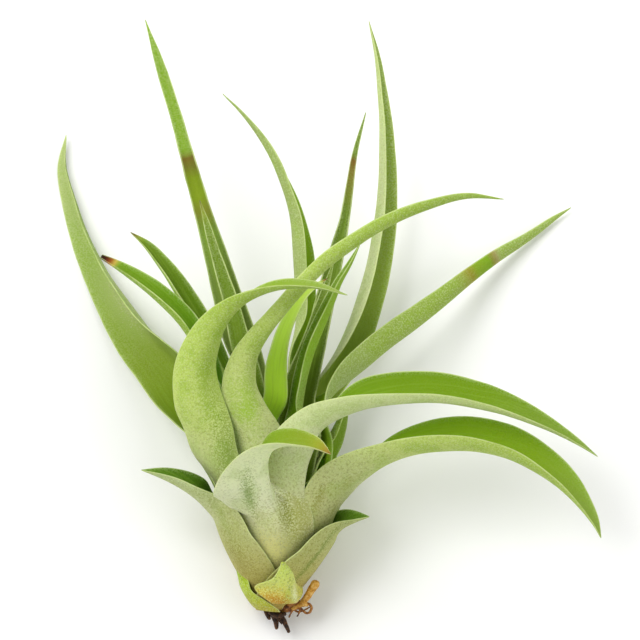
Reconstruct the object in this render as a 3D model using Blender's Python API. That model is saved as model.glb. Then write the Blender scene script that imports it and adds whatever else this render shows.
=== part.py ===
# Air plant (a soft-leaved Tillandsia) laid down as picked: a short stem, a rosette of channelled
# leaves whose sheaths nest round it like the scales of a bulb, two bracts and a tuft of roots.
#
# The plant is drawn in picture axes, in millimetres: u to the right, v up the picture and w towards
# the viewer, from the middle of the stem's foot. It is then tipped back onto the surface.
import math

import bmesh
import bpy
from mathutils import Matrix, Vector

MM = 0.001

# How the plant lies: v rises by this angle from the surface, and the stem leans a little to the viewer.
LAID_BACK = math.radians(18)
STEM_FOOT = Vector((-2.0, 0, 0))
STEM_AXIS = Vector((0.07, 0.98, 0.19)).normalized()

# The bulb: radius of its outermost sheath at heights along the stem axis, and the step between sheaths.
BULB_PROFILE = [(-9, 2.4), (-6, 5.0), (-2, 8.6), (2, 11.2), (8, 14.8), (14, 17.9), (20, 20.3), (26, 22.0),
                (34, 23.4), (42, 24.4), (50, 25.2), (58, 25.6)]
SHEATH_STEP = 1.45
SHEATH_THICKNESS = 0.75

# The stem, as radii at heights along its axis, the gap that each leaf keeps to it, the height of the
# lowest sheath's foot, and the step by which inner sheaths' feet are moved up clear of the stem.
STEM_PROFILE = [(-7.3, 1.8), (-6.7, 2.9), (-5.6, 3.3), (-3, 3.9), (0, 3.9), (6, 3.6), (12, 3.0), (18, 2.2),
                (23, 1.2), (24.5, 0.6)]
STEM_SIDES = 14
SEAT_GAP = 0.3
LOWEST_FOOT = -5.6
FOOT_STEP = 0.1

# Leaf section: thickness along the middle, at the margins and at the tip, and the part of the length
# at which the leaf is thickest.
BLADE_THICKNESS = 1.0
MARGIN_THICKNESS = 0.65
TIP_THICKNESS = 0.65
THICKEST_PART = 0.3

# How finely a leaf is split: the angle of wrap for each column of faces, the fewest columns, and the
# distance between the sheath's sections. The blade's channel is deepest at this part of its length.
COLUMN_ANGLE = 18
FEWEST_COLUMNS = 6
SHEATH_SPACING = 7.0
CHANNEL_DEEPEST = 0.45

# The flat spot on the underside of the bulb: how high up the stem it lies and how deep it is pressed.
REST_HEIGHT = 9.0
REST_DEPTH = 0.3
REST_LEAF = "leaf_under_middle"
REST_LAYER = 1

# Leaves, outermost first. turn is the side of the stem that the leaf grows from, at the foot of its sheath
# and at its collar, in degrees (0 right, 90 towards the viewer, 180 left, 270 to the surface). layer counts
# the sheaths outside it. wrap is half the angle that the sheath embraces at the foot and at the collar, the
# height where the blade starts. channel is half the angle of the blade's hollow, at its deepest and at its
# tip. Each blade point is u, v, w, half width, and facing: the angle of the leaf's back from the viewer, to
# the right of its growth.
LEAVES = {
    "bract_left": dict(
        turn=(186, 186), layer=0.4, wrap=(44, 38), collar=1, channel=(36, 20), colour="bract",
        blade=[
            (-13.9, 4.2, 2, 4.2, -83), (-14.7, 6.8, 2.4, 0.6, -80)]),
    "bract_front": dict(
        turn=(97, 97), layer=-0.4, wrap=(36, 32), collar=1, channel=(18, 12), colour="bract",
        blade=[
            (-1.0, 5.2, 16.2, 3.6, 0), (0.0, 8.6, 18.6, 0.6, 0)]),
    "leaf_right_low": dict(
        turn=(38, 18), layer=0.6, wrap=(86, 30), collar=18, channel=(50, 30), colour="sheath",
        blade=[
            (19.2, 20.8, 9.6, 5.8, 88), (22.4, 22.6, 9.2, 3.8, 105), (26.4, 22, 8.5, 0.6, 115)]),
    "leaf_under_middle": dict(
        turn=(270, 270), layer=1, wrap=(32, 28), collar=18, channel=(40, 30), colour="sheath",
        blade=[
            (1, 28, -14.8, 7.4, 180), (2, 36, -17, 6, 180), (3, 44, -19, 3.2, 180),
            (4, 50, -21, 0.6, 180)]),
    "leaf_left_low": dict(
        turn=(160, 168), layer=1.6, wrap=(76, 28), collar=21, channel=(60, 30), colour="sheath",
        blade=[
            (-24.3, 25.4, 8.8, 7.2, -98), (-29.4, 29.9, 8.8, 5.6, -112), (-35.6, 33.4, 8, 3.6, -120),
            (-42, 36, 7.5, 0.6, -122)]),
    "leaf_front_fold": dict(
        turn=(94, 106), layer=2.6, wrap=(50, 46), collar=20, channel=(80, 55), colour="silver",
        blade=[
            (-11, 29.5, 29.4, 8.4, 2), (-9.8, 35.5, 32, 8.6, 20), (-6.6, 40, 33.6, 8.2, 50),
            (-1.8, 42.8, 36, 8, 92), (4.5, 43.4, 38, 6.6, 122), (10, 42, 40.2, 4, 130),
            (15, 40.5, 42, 0.6, 130)]),
    "leaf_left_hidden_tip": dict(
        turn=(176, 180), layer=2.6, wrap=(22, 17), collar=26, channel=(25, 20), colour="green",
        blade=[
            (-20.8, 33, 3.5, 4.6, -100), (-23.6, 37.5, 2.5, 3.2, -105), (-26.3, 41.3, 2, 0.6, -105)]),
    "leaf_back_right_short": dict(
        turn=(322, 320), layer=2.6, wrap=(30, 17), collar=27, channel=(40, 30), colour="green",
        blade=[
            (16.6, 36, -7.4, 6.2, 135), (17.8, 43, -8.4, 5.2, 145), (18.9, 48.6, -9, 3.2, 155),
            (19.8, 52.7, -9.5, 0.6, 165)]),
    "leaf_under_left": dict(
        turn=(236, 231), layer=2.6, wrap=(34, 26), collar=27, channel=(50, 40), colour="green",
        blade=[
            (-14, 38, -9.5, 7.8, 220), (-16, 48, -14, 7.4, 210), (-18, 58, -19, 6, 198),
            (-19.4, 66, -23, 3.6, 188), (-20.5, 73, -27, 0.6, 180)]),
    "leaf_front_left_arch": dict(
        turn=(150, 150), layer=3.6, wrap=(50, 34), collar=30, channel=(66, 50), colour="silver",
        blade=[
            (-19.5, 39, 19.5, 10.2, -40), (-22, 47.5, 22.5, 9.8, -18), (-24.6, 56, 25, 9, -2),
            (-25.3, 65, 28, 8, 8), (-21.8, 74, 31, 7, 28), (-16.4, 81.3, 33.5, 6.2, 52),
            (-9, 87, 35.5, 5.4, 75), (-0.5, 90.6, 36.5, 4.6, 88), (9, 91.6, 36.5, 3, 92),
            (20, 88.4, 35.5, 0.5, 95)]),
    "leaf_right_lower_arch": dict(
        turn=(26, 21), layer=3.6, wrap=(54, 40), collar=25, channel=(82, 48), colour="silver",
        blade=[
            (21, 31, 13.4, 12, 68), (26, 35, 14.6, 11.6, 68), (33, 39, 15.2, 11.4, 76),
            (41, 41.6, 15.2, 11.6, 92), (50, 42.8, 15.5, 11.6, 106), (60.5, 42.4, 15.5, 11.2, 111),
            (70, 40, 15, 10.4, 113), (78, 35.8, 14, 8.8, 115), (84.5, 31, 13, 7, 116),
            (90, 25.2, 12, 4.8, 116), (94, 19.7, 11, 2.4, 116), (96, 15.5, 10, 0.5, 116)]),
    "leaf_under_right": dict(
        turn=(284, 276), layer=3.6, wrap=(34, 27), collar=28, channel=(50, 40), colour="green",
        blade=[
            (4.5, 38, -13, 7.2, 176), (6, 46, -17, 6.6, 176), (7.5, 53, -20.5, 4.6, 176),
            (8.5, 59, -23.5, 0.6, 176)]),
    "leaf_right_upper_arch": dict(
        turn=(66, 66), layer=4.6, wrap=(48, 37), collar=32, channel=(78, 42), colour="silver",
        blade=[
            (7.6, 43, 25.2, 10.2, 30), (12.3, 48.2, 26.8, 10.4, 55), (18.2, 52.6, 27.6, 10.8, 82),
            (25.5, 55.6, 27.2, 10.8, 102), (35, 57.4, 26.5, 10.4, 109), (48, 57.8, 25.5, 9.8, 110),
            (61, 55.8, 24, 8.4, 110), (72, 52.4, 22, 6.4, 109), (82, 48.2, 20, 4.2, 107),
            (90, 43.6, 18.5, 2, 105), (95, 40, 17.5, 0.5, 104)]),
    "leaf_left_broad": dict(
        turn=(212, 208), layer=5.6, wrap=(44, 38), collar=32, channel=(74, 50), colour="green",
        blade=[
            (-20, 43, -2, 10, -140), (-27.8, 53, -7, 9.6, 190), (-34.8, 62.5, -13.5, 9, 172),
            (-41.6, 72.5, -21, 7.6, 160), (-48.4, 83, -29, 6.4, 156), (-54.2, 94, -36, 5.4, 155),
            (-59.2, 105.4, -41.2, 4.6, 155), (-63.8, 117.8, -45.6, 3.3, 155), (-66.6, 128, -48.8, 2, 158),
            (-65, 137, -50.8, 0.5, 165)]),
    "leaf_front_long_arch": dict(
        turn=(112, 114), layer=5.6, wrap=(40, 36), collar=36, channel=(70, 60), colour="silver",
        blade=[
            (-8.5, 47, 20, 9, -8), (-10.8, 55, 21, 8.2, 5), (-11.3, 62, 22, 7, 18), (-9.3, 69, 23, 6, 38),
            (-5, 75.9, 24, 5.2, 52), (0.4, 82.6, 25, 4.8, 60), (6.6, 89.8, 25.5, 4.6, 62),
            (13.2, 96.5, 25.5, 4.6, 62), (21.6, 102.8, 25, 4.6, 64), (34, 110.2, 23.5, 4.4, 70),
            (45, 114.6, 21.5, 3.8, 78), (56, 117.4, 19, 2.6, 84), (67, 117.2, 17, 0.5, 85)]),
    "leaf_right_straight": dict(
        turn=(332, 346), layer=5.6, wrap=(42, 24), collar=44, channel=(76, 65), colour="silver",
        blade=[
            (17.6, 54.5, 3, 7.8, 100), (20, 61.5, -0.5, 8.2, 78), (25.8, 68, -5.3, 7.8, 64),
            (33, 74, -10.5, 7, 60), (41.5, 80.2, -16.5, 6.2, 60), (50, 86.6, -23, 5.4, 60),
            (58, 93.2, -29, 4.6, 60), (66, 99.2, -34.4, 3.8, 60), (74, 104.6, -39, 2.8, 60),
            (82, 110.8, -42.4, 1.6, 60), (87.6, 115, -43.9, 0.5, 60)]),
    "leaf_left_burnt_tip": dict(
        turn=(180, 176), layer=6.6, wrap=(34, 25), collar=46, channel=(72, 50), colour="bright",
        blade=[
            (-16.8, 55, 13.4, 5.2, -92), (-20.4, 63, 15.4, 5.4, -104), (-24.6, 71.2, 16.2, 5.8, -116),
            (-29.8, 79.6, 15.2, 6, -118), (-37, 87.4, 13, 5, -118), (-44, 93, 10.5, 3.2, -118),
            (-50, 97.3, 9.5, 1.5, -118), (-54.5, 100, 9, 0.6, -118)]),
    "leaf_right_tall": dict(
        turn=(290, 292), layer=6.6, wrap=(34, 24), collar=44, channel=(72, 50), colour="silver",
        blade=[
            (9.6, 53, -9.6, 6.4, 175), (14.8, 61, -14.4, 7.2, 200), (18, 69.5, -18, 7.8, 228),
            (21.2, 78, -21, 8, 240), (24.4, 87.5, -23, 8, 245), (27.2, 99, -24.2, 7.6, 248),
            (29, 110, -25, 7, 252), (30, 122, -26, 6.4, 255), (30.2, 134, -27, 5.6, 256),
            (29.5, 147, -28, 4, 258), (28, 160, -29, 2, 260), (26.4, 171.3, -30, 0.5, 262)]),
    "leaf_left_upper": dict(
        turn=(202, 197), layer=7.6, wrap=(34, 20), collar=47, channel=(68, 50), colour="bright",
        blade=[
            (-13, 55, 5.6, 4.4, -102), (-16, 62.5, 6.2, 4.2, -110), (-20.2, 70.5, 6.2, 4.6, -122),
            (-24.6, 79, 4.6, 5.2, -134), (-29.8, 88, 1.4, 5, -138), (-35.2, 97, -2, 3.8, -138),
            (-41, 104, -5, 2, -140), (-45.3, 107.4, -6.5, 0.5, -140)]),
    "leaf_back_curved": dict(
        turn=(268, 268), layer=7.6, wrap=(29, 22), collar=46, channel=(62, 50), colour="silver",
        blade=[
            (1.6, 55, -5.6, 5, 188), (2.8, 64, -9, 5, 215), (4.2, 76, -12.5, 4.9, 262),
            (5, 90, -14.5, 4.8, 295), (4.9, 100, -15, 4.4, 300), (4.2, 109, -15.5, 4, 300),
            (2.4, 118, -16, 3.3, 300), (-0.6, 126.5, -17, 2.5, 300), (-4.2, 134, -18, 1.8, 300),
            (-9, 141, -19, 1, 300), (-17.5, 149, -21, 0.5, 300)]),
    "leaf_left_tall": dict(
        turn=(218, 232), layer=8.6, wrap=(34, 22), collar=47, channel=(60, 50), colour="green",
        blade=[
            (-7.6, 56, 0, 4.6, 222), (-9.6, 66, -2.4, 5.1, 202), (-12.7, 76, -4, 5.8, 187),
            (-15.9, 87.5, -7, 5.2, 180), (-19.3, 99.5, -10.5, 4.3, 180), (-23.2, 112.5, -14.5, 3.2, 180),
            (-26.8, 125, -18.5, 2.7, 180), (-31, 140, -23, 2.2, 180), (-35.6, 155, -27, 1.8, 180),
            (-41, 171.6, -31, 0.5, 180)]),
    "leaf_back_narrow": dict(
        turn=(292, 302), layer=8.6, wrap=(32, 26), collar=47, channel=(60, 50), colour="dark",
        blade=[
            (7.8, 56, -2.8, 4.7, 162), (9.8, 64, -5.2, 4.7, 168), (11.8, 72, -7, 4.6, 173),
            (13.8, 81, -8.6, 4.4, 175), (16, 91.5, -9.8, 3.8, 175), (17.6, 102, -11, 2.8, 175),
            (19.2, 111, -12, 1.8, 175), (20.5, 120, -13, 1.3, 175), (22, 130, -14, 1, 175),
            (25.5, 143.5, -15.5, 0.5, 175)]),
    "leaf_left_tall_inner": dict(
        turn=(205, 208), layer=9.6, wrap=(32, 24), collar=49, channel=(60, 50), colour="green",
        blade=[
            (-8.6, 58, 3.2, 4.1, 205), (-10.4, 67.5, 1.4, 3.9, 190), (-12.9, 77, 1, 3.6, 180),
            (-15, 86, -0.4, 3.5, 180), (-17.5, 94, -2, 3.2, 180), (-20, 102, -3.8, 2.6, 180),
            (-22.3, 109.8, -5.8, 1.6, 180), (-24.5, 117, -8, 0.5, 180)]),
    "leaf_heart_core": dict(
        turn=(275, 284), layer=9.6, wrap=(31, 26), collar=49, channel=(54, 50), colour="green",
        blade=[
            (5, 58.5, -0.2, 4.2, 178), (6.6, 67, -0.6, 4.1, 178), (8.2, 75, -0.8, 3.8, 180),
            (10.3, 83, -0.6, 3.2, 180), (12.7, 91, 0, 2, 180), (15.8, 98.5, 0.5, 0.5, 180)]),
    "leaf_heart_short": dict(
        turn=(235, 226), layer=10.6, wrap=(25, 25), collar=48, channel=(52, 40), colour="bright",
        blade=[
            (-3.6, 58, 5, 4.7, 200), (-2.6, 65.5, 6.6, 4.6, 188), (-0.6, 73, 8.6, 4.2, 176),
            (2.5, 81, 10.8, 3.4, 165), (6.8, 88.5, 12.8, 2.2, 155), (14, 93.5, 14.2, 0.5, 145)]),
    "leaf_heart_narrow": dict(
        turn=(290, 290), layer=10.6, wrap=(25, 24), collar=48, channel=(52, 50), colour="bright",
        blade=[
            (5.4, 57, 3.2, 3.7, 172), (6.6, 64, 4.4, 3.6, 178), (8.6, 72, 5.4, 3.4, 180),
            (11.3, 80, 6.2, 3.1, 180), (14.8, 87.7, 7, 2.5, 180), (19, 95.6, 7.6, 1.6, 180),
            (23.6, 104.2, 8, 0.5, 180)]),
}

# Base colour of each kind of leaf, linear RGB, and its roughness.
LEAF_COLOURS = {
    "silver": (0.42, 0.53, 0.26),
    "green": (0.24, 0.42, 0.07),
    "bright": (0.30, 0.50, 0.07),
    "dark": (0.15, 0.30, 0.04),
    "sheath": (0.44, 0.48, 0.20),
    "bract": (0.50, 0.50, 0.12),
}
LEAF_ROUGHNESS = 0.6
SMOOTH_ANGLE = math.radians(40)

# Roots: each is a run of points in u, v, w with a radius at either end.
ROOT_SIDES = 6
ROOTS = {
    "roots_dark": dict(colour=(0.06, 0.03, 0.015), runs=[
        ([(-2.6, -7.5, -1.45), (-2.7, -8.6, -1.6), (-2.4, -9.6, -0.6), (-1.6, -10.4, 0.6)], 2.0, 0.8),
        ([(-1.9, -8.5, -0.9), (-1.0, -9.8, 0.6), (-1.7, -12.0, 1.6)], 1.4, 0.6),
        ([(-1.4, -8.7, -1.3), (0.2, -9.9, -0.6), (2.0, -13.2, 0.4)], 1.3, 0.6),
        ([(-3.2, -8.4, -1.9), (-4.2, -9.3, -1.6), (-4.4, -10.6, -1.2)], 1.2, 0.7)]),
    "root_amber": dict(colour=(0.42, 0.22, 0.05), runs=[
        ([(0.6, -7.6, -0.6), (3.4, -7.9, 0.6), (7.4, -6.2, 2.4), (9.6, -2.6, 4.2), (10.4, 1.6, 5.0)],
         1.1, 1.35)]),
    "roots_curled": dict(colour=(0.30, 0.14, 0.04), runs=[
        ([(0.1, -7.0, -3.2), (2.6, -7.2, -3.8), (4.8, -6.8, -3.2), (6.8, -5.2, -2.2), (8.2, -3.6, -1.6)],
         0.9, 0.8),
        ([(4.8, -6.8, -3.1), (7.4, -7.4, -2.2), (9.6, -6.4, -1.2), (9.2, -4.6, -0.4)], 0.75, 0.5),
        ([(5.2, -6.6, -3.0), (5.0, -8.4, -1.8), (3.6, -9.6, -0.8)], 0.7, 0.45)]),
}
STEM_COLOUR = (0.36, 0.20, 0.06)
ROOT_ROUGHNESS = 0.8


def remove_all_objects():
    for old in list(bpy.data.objects):
        bpy.data.objects.remove(old, do_unlink=True)


def stem_frame():
    """Unit vectors across the stem: one to the right, one towards the viewer."""
    right = (Vector((1, 0, 0)) - STEM_AXIS * STEM_AXIS.x).normalized()
    return right, right.cross(STEM_AXIS)


RIGHT, FRONT = stem_frame()


def on_axis(height):
    return STEM_FOOT + STEM_AXIS * height


def outward(turn):
    angle = math.radians(turn)
    return RIGHT * math.cos(angle) + FRONT * math.sin(angle)


def between(pair, part):
    """The value a part of the way from the pair's first to its second."""
    return pair[0] + (pair[1] - pair[0]) * part


def profile_radius(profile, height):
    """Radius at a height, on a smooth curve through the profile's points."""
    last = len(profile) - 1
    index = next((i for i in range(last) if height <= profile[i + 1][0]), last - 1)
    low, high = profile[index], profile[index + 1]
    before, after = profile[max(index - 1, 0)], profile[min(index + 2, last)]
    span = high[0] - low[0]
    part = (height - low[0]) / span
    slope_low = (high[1] - before[1]) / (high[0] - before[0]) * span
    slope_high = (after[1] - low[1]) / (after[0] - low[0]) * span
    return ((2 * part ** 3 - 3 * part ** 2 + 1) * low[1] + (part ** 3 - 2 * part ** 2 + part) * slope_low
            + (3 * part ** 2 - 2 * part ** 3) * high[1] + (part ** 3 - part ** 2) * slope_high)


def sheath_radius(layer, height):
    return profile_radius(BULB_PROFILE, height) - SHEATH_STEP * layer


def foot_height(layer):
    """Lowest height at which a sheath of this layer clears the stem."""
    clearance = SEAT_GAP + SHEATH_THICKNESS / 2
    height = LOWEST_FOOT
    while sheath_radius(layer, height) < profile_radius(STEM_PROFILE, height) + clearance:
        height += FOOT_STEP
    return height


def rest_point():
    radius = sheath_radius(REST_LAYER, REST_HEIGHT) + SHEATH_THICKNESS / 2
    return on_axis(REST_HEIGHT) + outward(270) * (radius - REST_DEPTH)


TIP_BACK = Matrix.Rotation(LAID_BACK, 3, "X")
REST_POINT = rest_point()


def to_world(point):
    return TIP_BACK @ (point - REST_POINT) * MM


def sheath_sections(leaf):
    """Sections of the sheath, level round the stem: point, half width, fold, back and side directions."""
    low, high = foot_height(leaf["layer"]), leaf["collar"]
    steps = math.ceil((high - low) / SHEATH_SPACING)
    sections = []
    for step in range(steps + 1):
        part = step / steps
        height = between((low, high), part)
        wrap = math.radians(between(leaf["wrap"], part))
        back = outward(between(leaf["turn"], part))
        radius = sheath_radius(leaf["layer"], height)
        sections.append((on_axis(height) + back * radius, radius * wrap, wrap, back, back.cross(STEM_AXIS)))
    return sections


def channel_at(start, channel, part):
    """Half angle of the blade's channel: from the sheath's to its deepest, and on to the tip's."""
    deepest, tip = (math.radians(angle) for angle in channel)
    if part < CHANNEL_DEEPEST:
        return between((start, deepest), part / CHANNEL_DEEPEST)
    return between((deepest, tip), (part - CHANNEL_DEEPEST) / (1 - CHANNEL_DEEPEST))


def blade_back(along, facing):
    """Direction of the leaf's back, square to its growth, turned by facing from the viewer."""
    viewer = Vector((0, 0, 1))
    square = (viewer - along * viewer.dot(along)).normalized()
    right = along.cross(square)
    angle = math.radians(facing)
    return square * math.cos(angle) + right * math.sin(angle)


def blade_sections(leaf, collar):
    """Sections of the blade through its drawn points, from the collar's own section."""
    blade = leaf["blade"]
    points = [collar[0]] + [Vector(row[:3]) for row in blade]
    sections = []
    for index, row in enumerate(blade):
        after = points[min(index + 2, len(points) - 1)]
        along = (after - points[index]).normalized()
        fold = channel_at(collar[2], leaf["channel"], (index + 1) / len(blade))
        back = blade_back(along, row[4])
        sections.append((points[index + 1], row[3], fold, back, back.cross(along)))
    return sections


def column_count(leaf):
    """Columns of faces across the leaf: more where its sheath embraces more of the bulb."""
    return max(FEWEST_COLUMNS, 2 * math.ceil(leaf["wrap"][0] / COLUMN_ANGLE))


def leaf_surface(sections, columns):
    """Points of the leaf's middle surface: one row for each section, from margin to margin."""
    rows = []
    for centre, half_width, fold, back, side in sections:
        radius = half_width / fold
        angles = [fold * (2 * column / columns - 1) for column in range(columns + 1)]
        rows.append([centre + side * (radius * math.sin(angle)) - back * (radius * (1 - math.cos(angle)))
                     for angle in angles])
    return rows


def surface_normals(rows):
    """Unit normals of the middle surface, to the leaf's hollow side."""
    normals = []
    last = len(rows) - 1
    columns = len(rows[0]) - 1
    for i in range(last + 1):
        low, high = rows[max(i - 1, 0)], rows[min(i + 1, last)]
        line = []
        for j in range(columns + 1):
            across = rows[i][min(j + 1, columns)] - rows[i][max(j - 1, 0)]
            line.append(across.cross(high[j] - low[j]).normalized())
        normals.append(line)
    return normals


def thickness_at(part, across):
    """Leaf thickness: part runs from foot to tip, across from -1 to 1 between the margins."""
    if part < THICKEST_PART:
        middle = between((SHEATH_THICKNESS, BLADE_THICKNESS), part / THICKEST_PART)
    else:
        middle = between((BLADE_THICKNESS, TIP_THICKNESS), (part - THICKEST_PART) / (1 - THICKEST_PART))
    margin = min(middle, MARGIN_THICKNESS)
    return middle + (margin - middle) * across * across


def leaf_rings(leaf, presses_surface):
    """Inner and outer faces of the leaf in world metres, as rows of points."""
    sections = sheath_sections(leaf)
    sections += blade_sections(leaf, sections[-1])
    columns = column_count(leaf)
    rows = leaf_surface(sections, columns)
    normals = surface_normals(rows)
    inner, outer = [], []
    for i, row in enumerate(rows):
        halves = [thickness_at(i / (len(rows) - 1), 2 * j / columns - 1) / 2 for j in range(columns + 1)]
        inner.append([to_world(p + normals[i][j] * halves[j]) for j, p in enumerate(row)])
        outer.append([to_world(p - normals[i][j] * halves[j]) for j, p in enumerate(row)])
    if presses_surface:
        for point in (p for row in outer for p in row):
            point.z = max(point.z, 0.0)
    return inner, outer


def finished_object(name, mesh_maker, colour, roughness=LEAF_ROUGHNESS):
    mesh = bpy.data.meshes.new(name)
    work = bmesh.new()
    mesh_maker(work)
    bmesh.ops.recalc_face_normals(work, faces=work.faces)
    work.to_mesh(mesh)
    work.free()
    mesh.shade_smooth()
    mesh.set_sharp_from_angle(angle=SMOOTH_ANGLE)
    material = bpy.data.materials.new(name + "_finish")
    material.use_nodes = True
    shader = material.node_tree.nodes["Principled BSDF"]
    shader.inputs["Base Color"].default_value = (*colour, 1)
    shader.inputs["Roughness"].default_value = roughness
    mesh.materials.append(material)
    new = bpy.data.objects.new(name, mesh)
    bpy.context.scene.collection.objects.link(new)
    return new


def add_leaf_faces(work, inner, outer):
    """A thin closed shell between two faces that are split into triangles alike."""
    top = [[work.verts.new(p) for p in row] for row in inner]
    bottom = [[work.verts.new(p) for p in row] for row in outer]
    last_row, last_column = len(top) - 1, len(top[0]) - 1
    for i in range(last_row):
        for j in range(last_column):
            for face in (top, bottom):
                a, b, c, d = face[i][j], face[i][j + 1], face[i + 1][j + 1], face[i + 1][j]
                work.faces.new((a, b, c))
                work.faces.new((a, c, d))
        for j in (0, last_column):
            work.faces.new((top[i][j], top[i + 1][j], bottom[i + 1][j], bottom[i][j]))
    for i in (0, last_row):
        for j in range(last_column):
            work.faces.new((top[i][j], top[i][j + 1], bottom[i][j + 1], bottom[i][j]))


def make_leaf(name, leaf):
    inner, outer = leaf_rings(leaf, name == REST_LEAF)
    colour = LEAF_COLOURS[leaf["colour"]]
    return finished_object(name, lambda work: add_leaf_faces(work, inner, outer), colour)


def add_tube(work, rings):
    """A closed tube through rings of points, with flat ends."""
    loops = [[work.verts.new(p) for p in ring] for ring in rings]
    sides = len(loops[0])
    for low, high in zip(loops, loops[1:]):
        for k in range(sides):
            nxt = (k + 1) % sides
            work.faces.new((low[k], low[nxt], high[nxt], high[k]))
    work.faces.new(loops[0])
    work.faces.new(loops[-1])


def make_stem():
    rings = []
    for height, radius in STEM_PROFILE:
        turns = [360 * k / STEM_SIDES for k in range(STEM_SIDES)]
        rings.append([to_world(on_axis(height) + outward(turn) * radius) for turn in turns])
    return finished_object("stem", lambda work: add_tube(work, rings), STEM_COLOUR, ROOT_ROUGHNESS)


def root_rings(points, start_radius, end_radius):
    """Rings square to a root's path, carried along it without twist."""
    path = [Vector(p) for p in points]
    side = Vector((0, 0, 1))
    rings = []
    for index, point in enumerate(path):
        along = (path[min(index + 1, len(path) - 1)] - path[max(index - 1, 0)]).normalized()
        side = (side - along * side.dot(along)).normalized()
        across = along.cross(side)
        radius = between((start_radius, end_radius), index / (len(path) - 1))
        angles = [2 * math.pi * k / ROOT_SIDES for k in range(ROOT_SIDES)]
        spokes = [side * math.cos(angle) + across * math.sin(angle) for angle in angles]
        rings.append([to_world(point + spoke * radius) for spoke in spokes])
    return rings


def make_roots(name, root):
    """Root runs of one colour, fused into one body."""
    runs = [finished_object(f"{name}_run_{i}", lambda work, run=run: add_tube(work, root_rings(*run)),
                            root["colour"], ROOT_ROUGHNESS) for i, run in enumerate(root["runs"])]
    body = runs[0]
    body.name = name
    if len(runs) > 1:
        others = bpy.data.collections.new(name + "_runs")
        for run in runs[1:]:
            others.objects.link(run)
        union = body.modifiers.new("fuse", "BOOLEAN")
        union.operation = "UNION"
        union.solver = "EXACT"
        union.operand_type = "COLLECTION"
        union.collection = others
        bpy.context.view_layer.objects.active = body
        with bpy.context.temp_override(object=body, active_object=body):
            bpy.ops.object.modifier_apply(modifier=union.name)
        for run in runs[1:]:
            bpy.data.objects.remove(run, do_unlink=True)
        bpy.data.collections.remove(others)
    return body


def build():
    remove_all_objects()
    make_stem()
    for name, leaf in LEAVES.items():
        make_leaf(name, leaf)
    for name, root in ROOTS.items():
        make_roots(name, root)


build()
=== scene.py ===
import math

import bpy
import numpy as np
from mathutils import Matrix, Vector, noise


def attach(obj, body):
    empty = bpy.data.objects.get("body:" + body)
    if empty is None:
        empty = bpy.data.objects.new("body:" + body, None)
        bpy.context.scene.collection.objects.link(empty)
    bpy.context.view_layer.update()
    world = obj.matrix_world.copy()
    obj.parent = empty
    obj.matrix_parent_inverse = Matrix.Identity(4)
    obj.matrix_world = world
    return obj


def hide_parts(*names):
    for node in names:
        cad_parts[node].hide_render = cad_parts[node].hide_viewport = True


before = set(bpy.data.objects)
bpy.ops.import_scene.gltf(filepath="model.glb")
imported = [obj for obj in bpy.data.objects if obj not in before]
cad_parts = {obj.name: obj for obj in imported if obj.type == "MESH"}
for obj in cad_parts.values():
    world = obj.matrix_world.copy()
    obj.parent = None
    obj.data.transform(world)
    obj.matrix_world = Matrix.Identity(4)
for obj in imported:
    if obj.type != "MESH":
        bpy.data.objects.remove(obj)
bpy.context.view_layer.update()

mm = 0.001
print("frame loaded:", len(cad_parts), "nodes")


def fromHex(code):
    parts = [int(code[i:i + 2], 16) / 255 for i in (0, 2, 4)]
    return tuple(p / 12.92 if p <= 0.04045 else ((p + 0.055) / 1.055) ** 2.4 for p in parts) + (1.0,)


def addNode(tree, kind, inputs=None, **settings):
    node = tree.nodes.new(kind)
    stops = settings.pop("stops", None)
    for key, value in settings.items():
        setattr(node, key, value)
    if stops:  # (place, hex) or (place, hex, alpha)
        ramp = node.color_ramp.elements
        while len(ramp) < len(stops):
            ramp.new(1.0)
        for element, stop in zip(ramp, sorted(stops)):
            element.position = stop[0]
            element.color = fromHex(stop[1])[:3] + (stop[2] if len(stop) > 2 else 1.0,)
    for key, value in (inputs or {}).items():
        if isinstance(value, bpy.types.Node):  # a node stands for its first output in use
            value = next(output for output in value.outputs if output.enabled)
        if isinstance(value, bpy.types.NodeSocket):
            tree.links.new(value, node.inputs[key])
        else:
            node.inputs[key].default_value = value
    return node


def clearPick():
    if bpy.context.object and bpy.context.object.mode != "OBJECT":
        bpy.ops.object.mode_set(mode="OBJECT")
    bpy.ops.object.select_all(action="DESELECT")


def pick(*objs):
    clearPick()
    for obj in objs:
        obj.select_set(True)
    bpy.context.view_layer.objects.active = objs[0]


def applyModifiers(obj):
    pick(obj)
    for modifier in list(obj.modifiers):
        bpy.ops.object.modifier_apply(modifier=modifier.name)


def addSubdivision(obj, levels):
    smooth = obj.modifiers.new("smooth", "SUBSURF")
    smooth.levels = levels
    smooth.render_levels = levels


def finishPiece(obj, node, material):
    obj.name = node + "_look"
    obj.data.name = obj.name
    obj.data.materials.clear()
    obj.data.materials.append(material)
    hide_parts(node)
    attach(obj, "root")


# how the plant grows and lies
# picture axes in mm: u right, v up the picture, w to the viewer, from the middle of the stem's foot
plant = dict(
    foot=(-2.0, 0, 0), axis=(0.07, 0.98, 0.19), laidBack=18,  # degrees
    restHeight=9.0, restLayer=1, restDepth=0.3)  # it rests so far up the stem, on that sheath, sunk by mm
bulb = dict(
    profile=[(-9, 2.4), (-6, 5.0), (-2, 8.6), (2, 11.2), (8, 14.8), (14, 17.9), (20, 20.3), (26, 22.0),
             (34, 23.4), (42, 24.4), (50, 25.2), (58, 25.6)],  # heights up the stem, radius of sheath 0
    step=1.45, thickness=0.75)  # from one sheath to the next one inwards, and of a sheath
stemShape = dict(
    profile=[(-7.3, 1.8), (-6.7, 2.9), (-5.6, 3.3), (-3, 3.9), (0, 3.9), (6, 3.6), (12, 3.0), (18, 2.2),
             (23, 1.2), (24.5, 0.6)],
    gap=0.3, lowestFoot=-5.6, footStep=0.1)

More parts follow.
